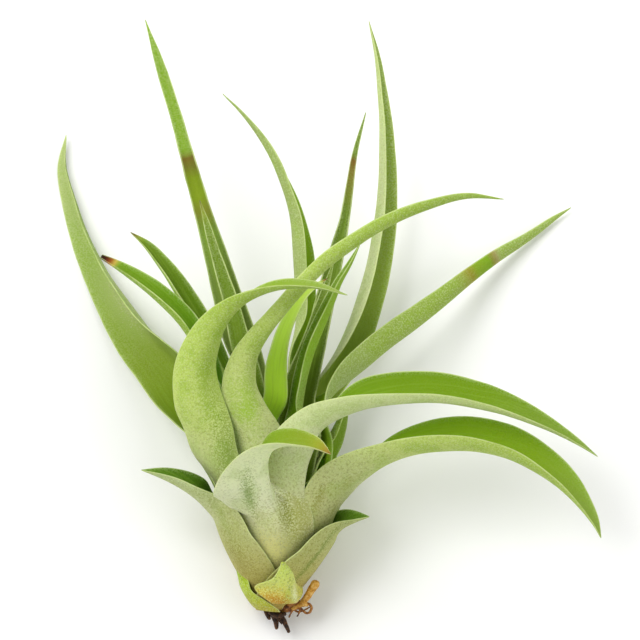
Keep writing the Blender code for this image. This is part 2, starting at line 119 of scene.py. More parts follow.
stemFoot = np.array(plant["foot"], float)
stemAxis = np.array(plant["axis"], float) / np.linalg.norm(plant["axis"])
stemRight = np.array((1, 0, 0)) - stemAxis * stemAxis[0]
stemRight /= np.linalg.norm(stemRight)
stemFront = np.cross(stemRight, stemAxis)
viewer = np.array((0.0, 0, 1))
tilt = math.radians(plant["laidBack"])
tipBack = np.array(((1, 0, 0), (0, math.cos(tilt), -math.sin(tilt)), (0, math.sin(tilt), math.cos(tilt))))


def outward(turn):
    angle = math.radians(turn)
    return stemRight * math.cos(angle) + stemFront * math.sin(angle)


def onAxis(height):
    return stemFoot + stemAxis * height


def between(pair, part):
    return pair[0] + (pair[1] - pair[0]) * part


def smoothRows(stations, values, where):  # a smooth curve through the values, whatever their spacing
    values = np.asarray(values, float)
    if values.ndim == 1:
        return smoothRows(stations, values[:, None], where)[:, 0]
    gaps = np.diff(stations)
    slopes = np.diff(values, axis=0) / gaps[:, None]
    tangents = np.vstack([slopes[:1], slopes[-1:]])
    if len(slopes) > 1:
        low, high = gaps[:-1, None], gaps[1:, None]
        middle = (slopes[:-1] * high + slopes[1:] * low) / (low + high)
        tangents = np.vstack([slopes[:1], middle, slopes[-1:]])
    index = np.clip(np.searchsorted(stations, where, side="right") - 1, 0, len(gaps) - 1)
    part = ((where - stations[index]) / gaps[index])[:, None]
    span = gaps[index][:, None]
    square, cube = part ** 2, part ** 3
    return ((2 * cube - 3 * square + 1) * values[index] + (cube - 2 * square + part) * span * tangents[index]
            + (3 * square - 2 * cube) * values[index + 1] + (cube - square) * span * tangents[index + 1])


def profileRadius(profile, height):
    heights, radii = zip(*profile)
    return float(smoothRows(np.array(heights, float), radii, np.array([float(height)]))[0])


def sheathRadius(layer, height):
    return profileRadius(bulb["profile"], height) - bulb["step"] * layer


def footHeight(layer):
    clearance = stemShape["gap"] + bulb["thickness"] / 2
    height = stemShape["lowestFoot"]
    while sheathRadius(layer, height) < profileRadius(stemShape["profile"], height) + clearance:
        height += stemShape["footStep"]
    return height


restPoint = onAxis(plant["restHeight"]) + outward(270) * (
    sheathRadius(plant["restLayer"], plant["restHeight"]) + bulb["thickness"] / 2 - plant["restDepth"])


def toWorld(points):  # rows of u, v, w in mm to metres on the surface
    return (np.asarray(points, float) - restPoint) @ tipBack.T * mm


# tones of the outer and the inner face from foot to tip, by kind of leaf; patch: of the greener patches on the
# outer face; dryFoot: how much of the dry sheath's tones shows, 1 if not given
leafTones = {
    "silver": dict(
        slot="silver_leaf", finish="silver_scaled_leaf", patch="94B434",
        outer=["BEBC6E", "C2C888", "B8CC66", "A8C250", "9EB84E"],
        inner=["98B436", "8AB020", "84AA14", "84A618", "8CA246"]),
    "green": dict(
        slot="green_leaf", finish="thinly_scaled_leaf", patch="86A22A",
        outer=["B2B874", "A8B66C", "94AA50", "809C34", "7A9432"],
        inner=["789226", "6C861C", "6A841A", "66821C", "6E842A"]),
    "bright": dict(
        slot="bright_leaf", finish="young_satin_leaf", patch="8CB022",
        outer=["B4B860", "A4BC56", "92B034", "82A426", "789A22"],
        inner=["8CAA2E", "709614", "628A06", "668A08", "70921C"]),
    "dark": dict(
        slot="dark_leaf", finish="dark_satin_leaf", patch="6A861C",
        outer=["A8B066", "98AA58", "80943C", "708830", "6C8430"],
        inner=["708824", "627A1A", "5C761A", "5E781E", "6A8230"]),
    "sheath": dict(
        slot="sheath", finish="speckled_sheath", patch="8C9A30",
        outer=["A89C48", "A8A250", "A6AC60", "A4B064", "96A850"],
        inner=["7C9420", "5E8210", "4C7408", "4A700A", "5A801A"]),
    "bract": dict(
        slot="bract", finish="papery_bract", patch="B4C84A", dryFoot=0.0,
        outer=["CCB850", "CCC858", "D0D86C", "C8D868", "BCCA54"],
        inner=["BE9C40", "B4BA48", "9CBC34", "94B434", "8AA62E"]),
}

# turn: side of the stem at the foot and collar (0 right, 90 viewer, 180 left, 270 surface); layer: how many
# sheaths it lies under; wrap: half the angle that the sheath embraces; collar: where it leaves the bulb, mm
# up the stem; channel: half the angle of the blade's hollow, deepest and at the tip; foot: mm up the stem, if
# not worked out; keel: how sharply it is folded, at collar and blade; shift: mm moved, at foot and collar;
# tipHalf: half width of the tip; blade: u, v, w, half width, the angle of the leaf's back from the viewer,
# then its own fold, right half, right fold and hollow; outer, inner: its own tones from foot to tip; haze:
# more pale scales; scurf: grey on the inner face, 0 to 1; marks: mm from the tip, hex, strength; patches: mm
# across and from the foot, radii, hex, strength
leaves = {
    "bract_left": dict(
        turn=(150, 172), layer=-0.5, wrap=(80, 34), collar=1, channel=(36, 20), tones="bract",
        shift=((0.4, 0, 2.8), (1.0, 0, 1.4)),
        blade=[(-12.4, 4, 4.4, 3.6, -70), (-13.6, 7, 4.6, 0.6, -70)],
        outer=["B09A30", "ACB02C", "A6B62A", "9EB626", "94B02A"]),
    "bract_front": dict(
        turn=(66, 66), layer=-1.5, wrap=(20, 42), collar=1.4, channel=(34, 20), tones="bract", foot=-1.4,
        keel=(0.7, 0.6), shift=((-1.2, -0.6, 1.2), (-1.8, 0, 1.2)),
        blade=[(2.0, 4.6, 16.6, 4.6, 34), (0.2, 8.6, 19.4, 0.6, 30)],
        patches=[(4.6, 2.4, 6.5, 4.4, "BE9A3C", 0.85), (2, 0.8, 7, 3, "B4802C", 0.85),
                 (-3.4, 3.4, 2.4, 5, "E4E8B4", 0.8)]),
    "leaf_right_low": dict(
        turn=(38, 20), layer=0.6, wrap=(88, 42), collar=17, channel=(50, 30), tones="sheath", keel=(0, 0.4),
        shift=((-2.6, 0, 1.2), (-1.2, 0, 0.6)),
        blade=[(18, 18.5, 9.6, 8.4, 98, 44, 9.4, 44), (21.4, 20.3, 9.4, 5, 110, 44, 6.2, 44),
               (24.2, 21.3, 9, 2.8, 112, 44, 3.4, 44), (26.6, 22, 8.5, 0.6, 112, 44)],
        # painted shade: the long narrow dark green patch at 5.2 mm across darkens the strip along the sheath's
        # crease
        patches=[(5.2, 23, 2.2, 20, "6A8028", 0.7), (-8, 16, 9, 12, "86823A", 0.4)]),
    "leaf_under_middle": dict(
        turn=(270, 270), layer=1, wrap=(32, 28), collar=18, channel=(40, 30), tones="sheath",
        blade=[(1, 28, -14.8, 7.4, 180), (2, 36, -17, 6, 180), (3, 44, -19, 3.2, 180),
               (4, 50, -21, 0.6, 180)]),
    "leaf_left_low": dict(
        turn=(160, 168), layer=1.0, wrap=(99, 51), collar=21, channel=(60, 30), tones="sheath",
        keel=(0, 0.4), shift=((0.8, 0, -0.4), (-0.4, 0, -0.6)),
        blade=[(-22.6, 24.6, 9, 12, -86, 48), (-27.2, 28.8, 9, 9, -103, 50),
               (-31.8, 31.8, 8.6, 6.6, -106, 50), (-37, 34.2, 8, 3.8, -108, 48),
               (-42, 36, 7.5, 0.6, -110, 46)],
        outer=["A89C48", "A6A250", "A8B070", "B0BE84", "9CB062"], haze=0.06,
        patches=[(-6, 19, 9, 14, "868232", 0.5), (-8, 34, 4, 14, "84983A", 0.4)]),
    "leaf_front_fold": dict(
        turn=(92, 94), layer=2.6, wrap=(50, 46), collar=17, channel=(80, 55), tones="silver",
        keel=(0.2, 0.85),  # the left half lies open, the right half turns back behind the keel
        blade=[(-1.2, 19.6, 22.6, 14.2, 0, 54, 11.8, 34, 1.2), (-2, 23.4, 24.6, 15.4, 2, 52, 11.2, 38, 2.4),
               (-3, 27.4, 27.4, 16.2, 10, 44, 6.8, 68, 2), (-3.4, 29.3, 28.6, 17, 18, 40, 7.2, 88, 0.8),
               (-3.7, 31, 29.6, 17, 26, 36, 8, 94, 0), (-4.4, 35, 32, 15, 46, 44, 9, 62),
               (-4.2, 39, 34.5, 12.6, 68, 42, 9.6, 46), (-2.6, 42, 36.5, 10.2, 90, 34, 9.2, 34),
               (0.8, 43.4, 38, 8.6, 104, 27, 8.4, 27), (6, 43.3, 39.6, 6.6, 110, 27, 6.6, 27),
               (11, 42.4, 41, 3.8, 114, 30, 3.8, 30), (15, 40.8, 42, 0.6, 118, 30)],
        outer=["D6CE58", "E2E090", "F0F2D8", "E0E8B0", "C0CC68"],
        inner=["8AA430", "86A422", "7E9E1A", "7C9A1A", "8A9624"], haze=0.42,
        marks=[(0, "84461C", 0.85), (1.8, "9C6428", 0.6), (4.5, "AA9A34", 0.3), (9, "A8AC34", 0)],
        # painted shade: the patches at -1.7, -8 and -3.6 mm across darken the crease beside the keel and the
        # right half's flap that turns back behind it
        patches=[(6.4, 42, 3.2, 12, "6E8A2C", 0.75), (4.5, 33, 4, 6, "98A04A", 0.45),
                 (-1.7, 31, 1.4, 6, "8A9040", 0.4), (-8, 31, 11, 16, "94983C", 0.75),
                 (-3.6, 31, 3.4, 7, "7E8632", 0.7), (2, 19, 9, 10, "E0DC88", 0.65)]),
    "leaf_left_hidden_tip": dict(
        turn=(176, 180), layer=2.6, wrap=(22, 17), collar=26, channel=(25, 20), tones="bright",
        slot="green_leaf",
        blade=[(-20.6, 33, 3.5, 4.8, -100), (-23.4, 37.2, 3, 4, -96), (-26, 41.4, 2.6, 1.6, -92)]),
    "leaf_back_right_short": dict(
        turn=(322, 316), layer=2.6, wrap=(30, 36), collar=27, channel=(60, 50), tones="green",
        keel=(0.1, 0.5),
        blade=[(10.4, 35, -5, 7.4, -122), (11.6, 41.4, -6.4, 6.2, -112), (14.4, 46.2, -7.6, 5.6, -110),
               (17, 51, -8.6, 4, -110), (20.4, 57, -9.5, 0.6, -110)],
        outer=["B2B874", "B4C078", "A8BC60", "94AE44", "86A03A"],
        inner=["9CB83C", "96B42A", "8EB022", "84A81C", "8CA246"]),
    "leaf_under_left": dict(
        turn=(236, 231), layer=2.6, wrap=(34, 26), collar=27, channel=(50, 40), tones="green",
        blade=[(-14, 38, -9.5, 7.8, 220), (-16, 48, -14, 7.4, 210), (-18, 58, -19, 6, 198),
               (-19.4, 66, -23, 3.6, 188), (-20.5, 73, -27, 0.6, 180)]),
    "leaf_front_left_arch": dict(
        turn=(150, 150), layer=3.6, wrap=(50, 38), collar=30, channel=(66, 50), tones="silver",
        shift=((0, 0, 0), (-1.2, 0, 0)),
        blade=[(-20.4, 39, 19.5, 11.6, -40, 46, 8.4, 46), (-22, 47.5, 22.5, 9.6, -18, 52, 8.1, 52),
               (-24.6, 56, 25, 9, -2, 58, 8.7, 58), (-25.3, 65, 28, 8, 8), (-21.8, 74, 31, 7, 28),
               (-16.4, 81.3, 33.5, 6.2, 56), (-9, 87, 35.5, 5.3, 84), (-0.5, 90.2, 36.5, 4.4, 104),
               (9, 90.8, 36.5, 2.9, 112), (20, 88.4, 35.5, 0.5, 115)],
        patches=[(-2.5, 70, 3.6, 20, "8CAC2C", 0.45), (-1, 88, 2.6, 9, "92B430", 0.35),
                 (-6, 46, 7, 22, "7A9430", 0.65), (5, 40, 6, 16, "C6CC96", 0.5)]),
    "leaf_right_lower_arch": dict(
        turn=(26, 24), layer=3.6, wrap=(60, 50), collar=25, channel=(82, 48), tones="silver",
        blade=[(20.4, 30.5, 12.4, 14, 66), (26, 34.5, 14.4, 12.6, 74), (33, 38.5, 15.2, 11.8, 90),
               (41, 41.1, 15.2, 11.6, 101), (50, 42.3, 15.5, 11.6, 110), (60.5, 41.9, 15.5, 11.2, 115),
               (70, 39.5, 15, 10.4, 117), (78, 35.3, 14, 8.8, 119), (84.5, 30.5, 13, 7, 120),
               (90, 24.8, 12, 4.8, 120), (94, 19.5, 11, 2.4, 120), (96, 15.5, 10, 0.5, 118)],
        patches=[(9, 33, 2.6, 5, "8A8C34", 0.6), (3, 40, 4, 7, "A2AC54", 0.4),
                 (1, 31, 2.4, 4, "96983C", 0.5)]),
    "leaf_under_right": dict(
        turn=(284, 276), layer=3.6, wrap=(34, 27), collar=28, channel=(50, 40), tones="green",
        blade=[(4.5, 38, -13, 7.2, 176), (6, 46, -17, 6.6, 176), (7.5, 53, -20.5, 4.6, 176),
               (8.5, 59, -23.5, 0.6, 176)]),
    "leaf_right_upper_arch": dict(
        turn=(80, 96), layer=4.6, wrap=(48, 32), collar=30, channel=(78, 42), tones="silver",
        blade=[(1.2, 37.6, 24.6, 8.2, 14), (5.6, 43.8, 27.2, 8.4, 34), (11.3, 48.6, 27.8, 9.2, 60),
               (18.2, 52, 27.6, 10.4, 87), (25.5, 54.7, 27.2, 10.8, 107), (35, 56.5, 26.5, 10.4, 116),
               (48, 56.9, 25.5, 9.8, 117), (61, 54.9, 24, 8.4, 117), (72, 51.5, 22, 6.4, 116),
               (82, 47.4, 20, 4.2, 113), (90, 43.2, 18.5, 2, 110), (95, 40, 17.5, 0.5, 106)],
        outer=["BEC48C", "C8CF9C", "C4D28A", "B4C866", "A4BC54"],
        inner=["84A424", "7C9E14", "709410", "70920E", "7E983A"], haze=0.25),
    "leaf_left_broad": dict(
        turn=(212, 208), layer=5.6, wrap=(44, 38), collar=32, channel=(74, 60), tones="green",
        keel=(0.1, 0.7),
        blade=[(-19, 43, -2, 10, -140), (-23.6, 51.6, -6, 11, 185), (-27.8, 60, -10.8, 11.8, 155, 58),
               (-32.8, 68.4, -17, 12, 140, 58), (-39.4, 76.4, -24, 11.4, 134, 57),
               (-46.2, 85.4, -31, 9.6, 133, 57), (-52.7, 94.8, -37, 7.2, 133, 57),
               (-57.9, 104.8, -41.5, 5.6, 133, 57), (-62.3, 116.8, -45.6, 4, 134, 57),
               (-65.3, 127, -48.6, 2.5, 136, 57), (-65, 137, -50.8, 0.5, 140, 57)],
        inner=["748A18", "6C8610", "7C9424", "92AE48", "B4C280"], scurf=0.5,
        patches=[(1.5, 101, 8, 20, "B6BE88", 0.75)]),
    "leaf_front_long_arch": dict(
        turn=(112, 114), layer=5.6, wrap=(40, 36), collar=36, channel=(70, 60), tones="silver",
        blade=[(-8.5, 47, 20, 7.4, -8, 42, 9, 42), (-10.8, 55, 21, 7.2, 5, 48, 7, 48),
               (-11.3, 62, 22, 6.6, 18, 54, 5.6, 54), (-9.3, 69, 23, 6, 38, 60, 5.6, 60),
               (-5, 75.9, 24, 5.2, 52), (0.4, 82.6, 25, 4.8, 60), (6.6, 89.8, 25.5, 4.6, 62),
               (13.2, 96.5, 25.5, 4.6, 62), (21.6, 102.8, 25, 4.6, 64), (34, 110.2, 23.5, 4.4, 70),
               (45, 114.6, 21.5, 3.8, 78), (56, 117.4, 19, 2.6, 84), (67, 117.2, 17, 0.5, 85)],
        patches=[(-0.8, 58, 5, 16, "9CC036", 0.55), (-1, 78, 3, 12, "98B83C", 0.4)]),
    "leaf_right_straight": dict(
        turn=(320, 308), layer=5.6, wrap=(42, 24), collar=44, channel=(76, 65), tones="silver",
        blade=[(12, 53.4, -3, 6.4, 120), (16, 59, -3.2, 6.6, 84), (21.2, 64, -4.4, 7, 66),
               (27, 68.8, -7, 7.1, 60), (34, 74.2, -11, 6.8, 60), (41.8, 80, -16.5, 6.2, 60),
               (50, 86.6, -23, 5.4, 60), (58, 93.2, -29, 4.6, 60), (66, 99.2, -34.4, 3.8, 60),
               (74, 104.6, -39, 2.8, 60), (82, 110.8, -42.4, 1.6, 60), (87.6, 115, -43.9, 0.5, 60)],
        outer=["B8C488", "AEC07C", "98B050", "94AE46", "9CB25C"],
        marks=[(27, "B0BE80", 0), (29.5, "A4905C", 0.8), (31, "8C8A34", 0.8), (32.5, "7EA61C", 0.9),
               (37.5, "84A21C", 0.85), (40.5, "9A8A2C", 0.75), (44, "9CA04A", 0.4), (48, "93A640", 0)]),
    "leaf_left_burnt_tip": dict(
        turn=(180, 176), layer=6.6, wrap=(34, 25), collar=46, channel=(72, 56), tones="bright", tipHalf=1.4,
        blade=[(-16.8, 55, 13.4, 5.2, -92), (-20.4, 63, 15.4, 5.4, -104), (-24.6, 71.2, 16.2, 6, -114),
               (-29.8, 79.4, 15.2, 6.2, -116), (-37, 87, 13, 5.6, -118), (-44, 92.8, 10.5, 4.4, -118),
               (-50, 97, 9.5, 2.8, -118), (-54.3, 99.8, 9, 0.6, -118)],
        inner=["8CAA2E", "6A9610", "5C8C04", "608A06", "70921C"], scurf=0.02,
        marks=[(0, "1C0E08", 1), (1.5, "3A160C", 1), (2.4, "6E2C12", 1), (3.4, "96581E", 1),
               (4.6, "C4A850", 0.9), (6.4, "8EAA30", 0)]),
    "leaf_right_tall": dict(
        turn=(290, 292), layer=6.6, wrap=(34, 24), collar=44, channel=(72, 50), tones="silver",
        keel=(0.2, 0.85),
        blade=[(8.2, 55, -10, 6.4, 222, 50), (12.2, 63, -13.4, 7.6, 230, 58),
               (16.2, 70, -16.6, 8.4, 235, 60), (19.8, 78, -20, 8.6, 237, 63),
               (23, 87, -22.6, 8.1, 238, 64), (26, 98, -24.2, 7.6, 238, 64), (28.2, 110, -25, 6.9, 239, 64),
               (29.4, 122, -26, 5.8, 239, 63), (29.8, 134, -27, 4.7, 240, 62),
               (29.5, 147, -28, 3.2, 242, 60), (28.3, 160, -29, 1.8, 244, 60),
               (26.4, 171.3, -30, 0.5, 246, 60)],
        outer=["BEC48C", "C4CA94", "C4CC94", "BCC884", "A8BC60"],
        inner=["8AA22A", "8EA634", "8EA638", "8EA63C", "92A84A"], haze=0.22, scurf=0.5),
    "leaf_left_upper": dict(
        turn=(202, 197), layer=7.6, wrap=(34, 20), collar=47, channel=(68, 54), tones="bright",
        blade=[(-13, 55, 5.6, 4.4, -102), (-16, 62.5, 6.2, 4.2, -108), (-20.2, 70.5, 6.2, 4.8, -116),
               (-24.8, 79, 4.6, 5.4, -122), (-30.2, 87.8, 1.4, 5.2, -124), (-35.8, 96.6, -2, 4, -125),
               (-41.2, 103.6, -5, 2.2, -126), (-45.3, 107.4, -6.5, 0.5, -128)],
        inner=["6E8C1C", "5E8008", "527404", "567604", "66821A"], scurf=0.02,
        marks=[(0, "4A2C14", 0.95), (1.4, "6E5A24", 0.85), (3.5, "9AA044", 0.5), (6, "7A9828", 0)]),
    "leaf_back_curved": dict(
        turn=(268, 268), layer=7.6, wrap=(29, 22), collar=46, channel=(62, 50), tones="silver",
        keel=(0.1, 0.7),
        blade=[(2.6, 58, -5.6, 5, 242), (3.2, 69, -10, 6, 242), (4.6, 81, -13.2, 7, 252, 58, 8, 58),
               (4.2, 91, -14.5, 7.4, 253, 58, 8.7, 58), (3.5, 101, -15, 7.3, 254, 58, 8.5, 58),
               (2.8, 110.5, -15.5, 5.6, 259, 60, 6.4, 60), (1.3, 118, -16, 4.4, 264, 58),
               (-1.9, 127, -17, 3.3, 276, 56), (-5.9, 134.5, -18, 2.4, 284, 54),
               (-10.6, 141.4, -19, 1.3, 288, 52), (-17.7, 149.2, -21, 0.5, 290, 50)],
        outer=["AEB67C", "ACB878", "A0B262", "96AA56", "8CA250"], haze=0.08),
    "leaf_left_tall": dict(
        turn=(218, 232), layer=8.6, wrap=(34, 22), collar=47, channel=(60, 50), tones="green",
        blade=[(-7.6, 56, 0, 4.6, 222), (-9.6, 66, -2.4, 5.1, 202), (-12.7, 76, -4, 5.8, 187),
               (-15.9, 87.5, -7, 5.2, 180), (-19.3, 99.5, -10.5, 4.3, 180), (-23.2, 112.5, -14.5, 3.2, 180),
               (-26.8, 125, -18.5, 2.7, 180), (-31, 140, -23, 2.2, 180), (-35.6, 155, -27, 1.8, 180),
               (-41, 171.6, -31, 0.5, 180)],
        inner=["7E9438", "86984A", "7C943C", "7A9E22", "7C9E2A"], scurf=0.2,
        marks=[(42, "7CA03A", 0), (45.5, "6E4E1C", 0.85), (48.5, "6A6020", 0.8), (51.5, "76880E", 0.8),
               (58, "7C9010", 0.8), (63, "7A7424", 0.7), (68, "6A7E28", 0.5), (74, "7CA03A", 0)]),
    "leaf_back_narrow": dict(
        turn=(292, 302), layer=8.6, wrap=(32, 26), collar=47, channel=(60, 50), tones="dark",
        blade=[(6.8, 56, -2.8, 4.2, 162), (8.4, 64, -5.2, 3.9, 168), (10, 72, -7, 3.8, 173),
               (12, 81, -8.6, 3.7, 175), (14.4, 91.5, -9.8, 3.4, 175), (17, 102, -11, 2.7, 175),
               (19.1, 111, -12, 1.8, 175), (20.5, 120, -13, 1.3, 175), (22, 130, -14, 1, 175),
               (25.5, 143.5, -15.5, 0.5, 175)],
        marks=[(12, "6E8A30", 0), (15, "7A4A20", 0.8), (20, "86702E", 0.6), (28, "727E28", 0.5),
               (33, "607E1C", 0)]),
    "leaf_left_tall_inner": dict(
        turn=(205, 208), layer=9.6, wrap=(32, 24), collar=49, channel=(60, 50), tones="green",
        blade=[(-8.6, 58, 3.2, 4.1, 205), (-10.4, 67.5, 1.4, 3.9, 190), (-12.9, 77, 1, 3.4, 180),
               (-15, 86, -0.4, 2.9, 180), (-17.5, 94, -2, 2.3, 180), (-20, 102, -3.8, 1.7, 180),
               (-22.3, 109.8, -5.8, 1.1, 180), (-24.5, 117, -8, 0.5, 180)],
        scurf=0.15,
        marks=[(0, "3C2C14", 0.9), (1.5, "7E7A2E", 0.8), (5, "98A03E", 0.5), (9, "7C9830", 0)]),
    "leaf_heart_core": dict(
        turn=(275, 284), layer=9.6, wrap=(31, 26), collar=49, channel=(54, 50), tones="green",
        blade=[(2.6, 58.5, -0.2, 2.8, 178), (4.6, 65.5, -0.6, 2.5, 178), (6.7, 71, -0.8, 2.3, 180),
               (8.4, 75.5, -0.8, 2.1, 180), (11.2, 83.7, -0.6, 1.8, 180), (13.2, 90, 0, 1.2, 180),
               (15.8, 98.5, 0.5, 0.5, 180)]),
    "leaf_heart_short": dict(
        turn=(235, 226), layer=10.6, wrap=(25, 25), collar=48, channel=(52, 40), tones="bright",
        blade=[(-2, 58, 5, 4.2, 200), (-1.7, 65.5, 6.6, 3.8, 188), (-0.3, 73, 8.6, 3, 176),
               (2.5, 81, 10.8, 2.4, 165), (6.8, 88.5, 12.8, 1.8, 155), (14, 93.5, 14.2, 0.5, 145)],
        # painted light: these inner tones are lifted to a glowing green, brighter than the leaf's own, as if
        # lit through from behind in the shaded heart
        inner=["B4DC3C", "C4F040", "BEE83C", "B4D848", "AAC24E"],
        marks=[(0, "4E280E", 1), (1.2, "7E4418", 0.9), (2.6, "93A83A", 0)]),
    "leaf_heart_narrow": dict(
        turn=(290, 290), layer=10.6, wrap=(25, 24), collar=48, channel=(58, 55), tones="bright",
        keel=(0.2, 0.85),
        blade=[(6, 53.4, 2.4, 4.6, 118, 57), (7.6, 63.3, 4.2, 4.9, 108, 57), (10, 71.4, 5.4, 4.9, 106, 57),
               (13.4, 79.8, 6.4, 4.4, 106, 57), (16.4, 87, 7, 3.6, 108, 57),
               (18.2, 91.8, 7.4, 2.7, 110, 56), (21.1, 97.5, 7.8, 1.7, 112, 55),
               (23.9, 104.3, 8, 0.5, 115, 55)],
        outer=["98B83C", "90B830", "8AB42A", "8AB02C", "90B03C"], haze=-0.2),
}

leafMake = dict(
    keel=(0, 0.12), keelWidth=0.14,  # how sharply the section folds, at collar and blade, and how far out
    arcSteps=24, hollowPlace=-0.3, hollowWidth=0.17,  # the section's arc, and where a hollow lies across it
    sheathStep=4.0, fewestSteps=3, channelDeepest=0.45,  # mm between stations, count, share of the blade
    rowStep=1.5, columnStep=1.7, fewestColumns=10,  # mm, mm, count
    columnSpread=(0.3, 0.7),  # share of even columns, and of columns crowded towards the margins
    thickness=0.95, marginShare=0.45,  # mm, and the share of it at the margins
    thickAlong=([0, 0.25, 0.8, 1], [0.75, 1, 0.75, 0.3]),  # places along the leaf and the share of it there
    tipHalf=0.12, lineWidth=0.3, lineMost=0.12,  # mm, mm of pale margin line, its most of the half width
    ripple=0.28, rippleSize=13.0, edgeRipple=0.16, edgeRippleSize=5.0,  # how uneven blade and margins are, mm
    calmFoot=12, footFade=20, tipFade=12,  # mm without waviness at the foot, mm to fade in and out
    facePlace=0.3, levels=1)  # share of the leaf where its outer face is told from the inner one, smoothing

# columns of a drawn section: centre, left half width and fold, back, run, keel, right half and fold, hollow
centreAt, leftHalf, leftFold, backAt, runAt, keelAt, rightHalf, rightFold, hollowAt = (
    slice(0, 3), 3, 4, slice(5, 8), slice(8, 11), 11, 12, 13, 14)


def unit(rows):
    return rows / np.linalg.norm(rows, axis=1, keepdims=True)


def leafStations(shape):  # the sections at the traced stations, from the foot to the tip
    low, high = shape.get("foot", footHeight(shape["layer"])), shape["collar"]
    shift = np.array(shape.get("shift", ((0, 0, 0), (0, 0, 0))), float)
    deepest, tip = (math.radians(angle) for angle in shape["channel"])
    keel = shape.get("keel", leafMake["keel"])
    steps = max(leafMake["fewestSteps"], math.ceil((high - low) / leafMake["sheathStep"]))
    rows = []
    for step in range(steps + 1):
        part = step / steps
        height = between((low, high), part)
        wrap = math.radians(between(shape["wrap"], part))
        back = outward(between(shape["turn"], part))
        radius = sheathRadius(shape["layer"], height)
        centre = onAxis(height) + back * radius + between(shift, part)
        rows.append([*centre, radius * wrap, wrap, *back, *stemAxis, keel[0] * part, radius * wrap, wrap, 0])
    blade = shape["blade"]
    collarWrap = rows[-1][leftFold]
    points = [np.array(rows[-1][centreAt])] + [np.array(row[:3], float) for row in blade]
    for index, row in enumerate(blade):
        half, turned, *own = row[3:]
        if index == len(blade) - 1:
            half = shape.get("tipHalf", leafMake["tipHalf"])
        along = points[min(index + 2, len(points) - 1)] - points[index]
        along /= np.linalg.norm(along)
        part = (index + 1) / len(blade)
        turnAt = leafMake["channelDeepest"]
        fold = (between((collarWrap, deepest), part / turnAt) if part < turnAt
                else between((deepest, tip), (part - turnAt) / (1 - turnAt)))
        fold = math.radians(own[0]) if own else fold
        square = viewer - along * (viewer @ along)
        square /= np.linalg.norm(square)
        angle = math.radians(turned)
        back = square * math.cos(angle) + np.cross(along, square) * math.sin(angle)
        right = (own[1], math.radians(own[2])) if len(own) > 1 else (half, fold)
        hollow = own[3] if len(own) > 3 else 0
        sharpness = between(keel, min(1, part / turnAt))
        rows.append([*points[index + 1], half, fold, *back, *along, sharpness, *right, hollow])
    return np.array(rows)


def halfWidth(rows, across):
    return np.maximum(np.where(across > 0, rows[:, leftHalf], rows[:, rightHalf]), leafMake["tipHalf"])


def leafPoints(rows, across):  # the section: a smooth arc, or two flatter halves on a keel as it sharpens
    run = unit(rows[:, runAt])
    back = rows[:, backAt]
    back = unit(back - run * (back * run).sum(1, keepdims=True))
    side = np.cross(back, run)
    half = halfWidth(rows, across)
    fold = np.where(across > 0, rows[:, leftFold], rows[:, rightFold])[:, None]
    keel = np.clip(rows[:, keelAt], 0, 1)[:, None]
    part = across[:, None] * (np.arange(leafMake["arcSteps"]) + 0.5) / leafMake["arcSteps"]
    bend = fold * ((1 - keel) * part + keel * np.tanh(part / leafMake["keelWidth"]))
    sideways = half * across * np.cos(bend).mean(1)
    depth = half * across * np.sin(bend).mean(1)
    hollow = np.exp(-((across - leafMake["hollowPlace"]) / leafMake["hollowWidth"]) ** 2)
    depth = depth + rows[:, hollowAt] * hollow  # beside the keel, on its right
    return rows[:, centreAt] + side * sideways[:, None] - back * depth[:, None], back


def meshPoints(mesh):
    flat = np.empty(len(mesh.vertices) * 3)
    mesh.vertices.foreach_get("co", flat)
    return flat.reshape(-1, 3)


def storeValues(mesh, label, values):
    mesh.attributes.new(label, "FLOAT", "POINT").data.foreach_set("value", values.astype(np.float32))


